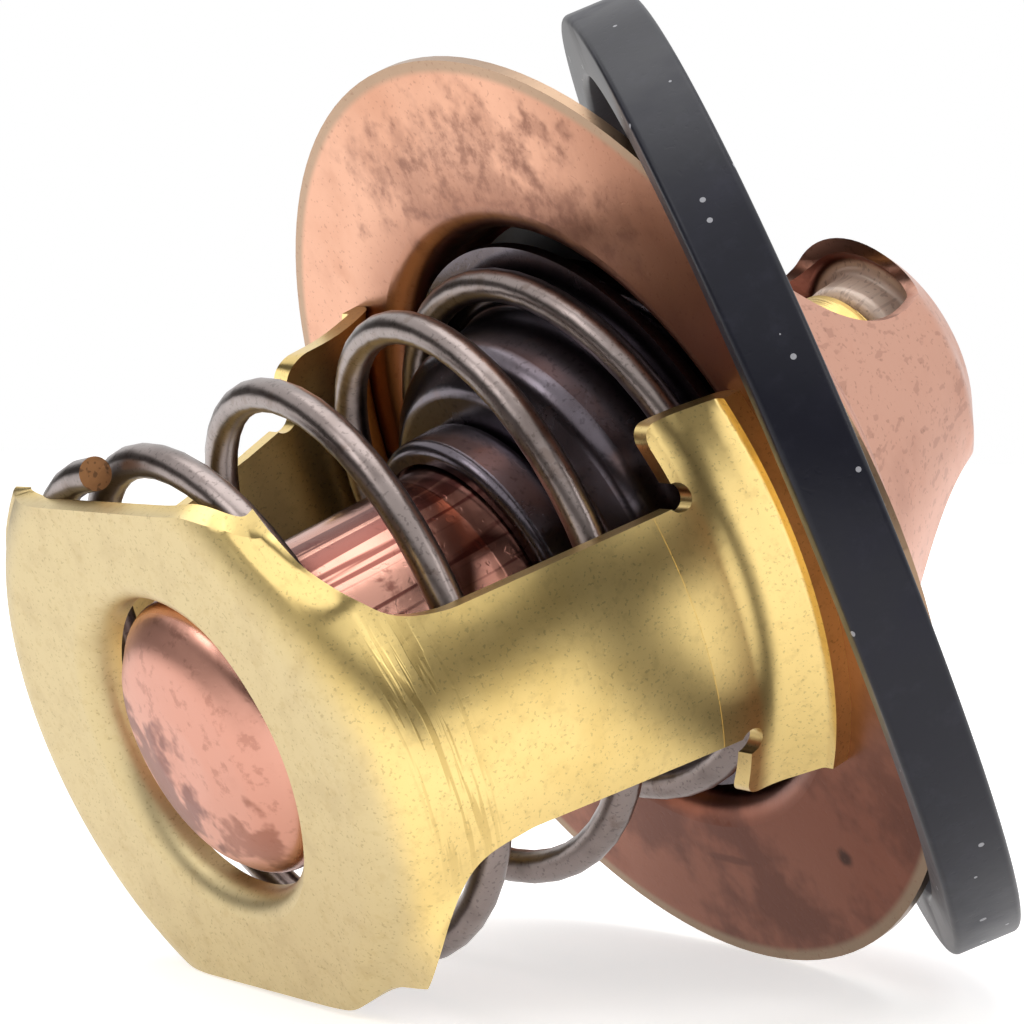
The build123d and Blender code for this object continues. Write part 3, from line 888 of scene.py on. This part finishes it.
# %% Sweep the wire
SIDES = 28
line_mesh = bpy.data.meshes.new("spring_line")
line_edges = [(step, step + 1) for step in range(len(wire_points) - 1)]
line_mesh.from_pydata([tuple(point) for point in wire_points], line_edges, [])
spring = bpy.data.objects.new("coil_spring", line_mesh)
bpy.context.scene.collection.objects.link(spring)
modifier = spring.modifiers.new("round_wire", "NODES")
modifier.node_group = sweep
modifier[radius_socket.identifier] = WIRE_RADIUS
modifier[sides_socket.identifier] = SIDES
modifier[finish_socket.identifier] = finishes["spring_steel"]
evaluated = spring.evaluated_get(bpy.context.evaluated_depsgraph_get())
spring_mesh = bpy.data.meshes.new_from_object(evaluated)
spring.modifiers.clear()
spring.data = spring_mesh
print("spring faces:", len(spring_mesh.polygons))


# %% Turn the faces outwards and mark the cut ends
def signed_volume(mesh):
    """Six times the volume of a closed mesh, below zero where its faces point inwards."""
    total = 0.0
    for face in mesh.polygons:
        corners = [mesh.vertices[index].co for index in face.vertices]
        for second, third in zip(corners[1:], corners[2:]):
            total += corners[0].dot(second.cross(third))
    return total


for swept_mesh in (spring_mesh, ring_mesh):
    if signed_volume(swept_mesh) < 0:
        swept_mesh.flip_normals()
spring_mesh.materials.clear()
spring_mesh.materials.append(finishes["spring_steel"])
spring_mesh.materials.append(finishes["wire_cut"])
for face in spring_mesh.polygons:
    is_cut_end = len(face.vertices) > 4
    face.material_index = 1 if is_cut_end else 0
    face.use_smooth = not is_cut_end
print("spring volume:", round(signed_volume(spring_mesh) / 6 / MM**3), "mm3")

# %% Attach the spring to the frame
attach(spring, "frame")
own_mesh(spring)
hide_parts("return_spring")

# %% [markdown]
# ## Table, light and flags
# The table is white paper under soft light. A lamp strong enough to burn it out would burn
# the brass too, so the paper adds a little white of its own for the camera and for
# reflections, and keeps the part's soft shadow. Polished metal shows what stands round it,
# so the studio's dark side is a curved flag that only reflections see.


# %% Paint the table
def seen_white(wiring):
    """One for the rays that show the surroundings, nought for those that only light."""
    rays = wiring.add("ShaderNodeLightPath").outputs
    seen = wiring.maths("MAXIMUM", rays["Is Camera Ray"], rays["Is Glossy Ray"])
    return wiring.maths("MAXIMUM", seen, rays["Is Transmission Ray"])


PAPER_GLOW = 0.62
paper = Finish("table_paper", colour(246, 244, 243), 0.0, 0.9)
paper.shader.inputs["Specular IOR Level"].default_value = 0.0
paper.shader.inputs["Emission Color"].default_value = (1, 1, 1, 1)
paper.put(paper.shader.inputs["Emission Strength"], paper.both(seen_white(paper), PAPER_GLOW))
paper_grain = paper.use("stains", "Mask", Scale=400.0, Cover=0.5, Edge=0.3, Seed=91.0)
paper.layer(paper.both(paper_grain, 0.3), colour(242, 240, 240))
paper.finish()
clear = paper.add("ShaderNodeBsdfTransparent").outputs[0]
side = paper.add("ShaderNodeNewGeometry").outputs["Backfacing"]
sides = paper.add("ShaderNodeMixShader")
paper.put(sides.inputs[0], side)
paper.put(sides.inputs[1], paper.shader.outputs[0])
paper.put(sides.inputs[2], clear)
paper.put(paper.tree.nodes["Material Output"].inputs["Surface"], sides.outputs[0])
table_mesh.materials.append(paper.material)
print("table faces the part:", table_mesh.polygons[0].normal.dot(TABLE_NORMAL) > 0)

# %% Light the world
WORLD_FILL = 0.5
world = bpy.data.worlds.new("studio")
bpy.context.scene.world = world
world.use_nodes = True
sky = Wiring(world.node_tree)
backdrop = world.node_tree.nodes["Background"]
backdrop.inputs["Color"].default_value = (1, 1, 1, 1)
sky.put(backdrop.inputs["Strength"], sky.ramp(seen_white(sky), 0.0, 1.0, WORLD_FILL, 1.0))
print("world fill:", WORLD_FILL)


# %% Hang the lamps
def hang_lamp(name, direction, distance, width, length, radiance):
    """A soft area lamp that looks at the part. Its power follows from its size."""
    data = bpy.data.lights.new(name, "AREA")
    data.shape = "RECTANGLE"
    data.size = width
    data.size_y = length
    data.energy = radiance * math.pi * width * length
    lamp = bpy.data.objects.new(name, data)
    direction = Vector(direction).normalized()
    lamp.matrix_world = aimed(direction * distance, -direction, CAMERA_FORWARD)
    bpy.context.scene.collection.objects.link(lamp)


camera_right = CAMERA_FORWARD.cross(CAMERA_UP).normalized()


def toward(right, up, back):
    """A direction from the part, in the photographer's words."""
    return camera_right * right + CAMERA_UP * up - CAMERA_FORWARD * back


overhead = {"distance": 0.5, "width": 0.5, "length": 0.4, "radiance": 1.8}
front = {"distance": 0.45, "width": 0.2, "length": 0.24, "radiance": 2.4}
left = {"distance": 0.5, "width": 0.16, "length": 0.16, "radiance": 3.0}
hang_lamp("overhead_softbox", toward(-0.1, 1.0, -0.1), **overhead)
hang_lamp("front_softbox", toward(0.75, 0.62, 0.5), **front)
hang_lamp("left_softbox", toward(-0.9, 0.75, 0.4), **left)
print("lamps:", len(bpy.data.lights))

# %% Stand the dark flag
FLAG_RADIUS = 0.6
FLAG_LOW = 0.02
FLAG_HIGH = 0.25
FLAG_START = -150
FLAG_END = 70
FLAG_STEPS = 36
flag_points = []
for step in range(FLAG_STEPS + 1):
    bearing = math.radians(FLAG_START + (FLAG_END - FLAG_START) * step / FLAG_STEPS)
    outward = toward(math.sin(bearing), 0, math.cos(bearing))
    outward = (outward - TABLE_NORMAL * outward.dot(TABLE_NORMAL)).normalized()
    for level in (FLAG_LOW, FLAG_HIGH):
        flag_points.append(outward * FLAG_RADIUS + TABLE_NORMAL * (table_height + level))
flag_faces = []
for step in range(FLAG_STEPS):
    first = 2 * step
    flag_faces.append([first, first + 1, first + 3, first + 2])
flag_mesh = bpy.data.meshes.new("dark_flag")
flag_mesh.from_pydata(flag_points, [], flag_faces)
felt = Finish("flag_felt", colour(46, 40, 36), 0.0, 1.0)
felt.layer(felt.use("stains", "Mask", Scale=20.0, Cover=0.5, Edge=0.3), colour(60, 54, 48))
flag_mesh.materials.append(felt.finish())
flag = bpy.data.objects.new("dark_flag", flag_mesh)
bpy.context.scene.collection.objects.link(flag)
flag.visible_camera = False
flag.visible_diffuse = False
flag.visible_shadow = False
flag.visible_transmission = False
print("flag panels:", len(flag_faces))
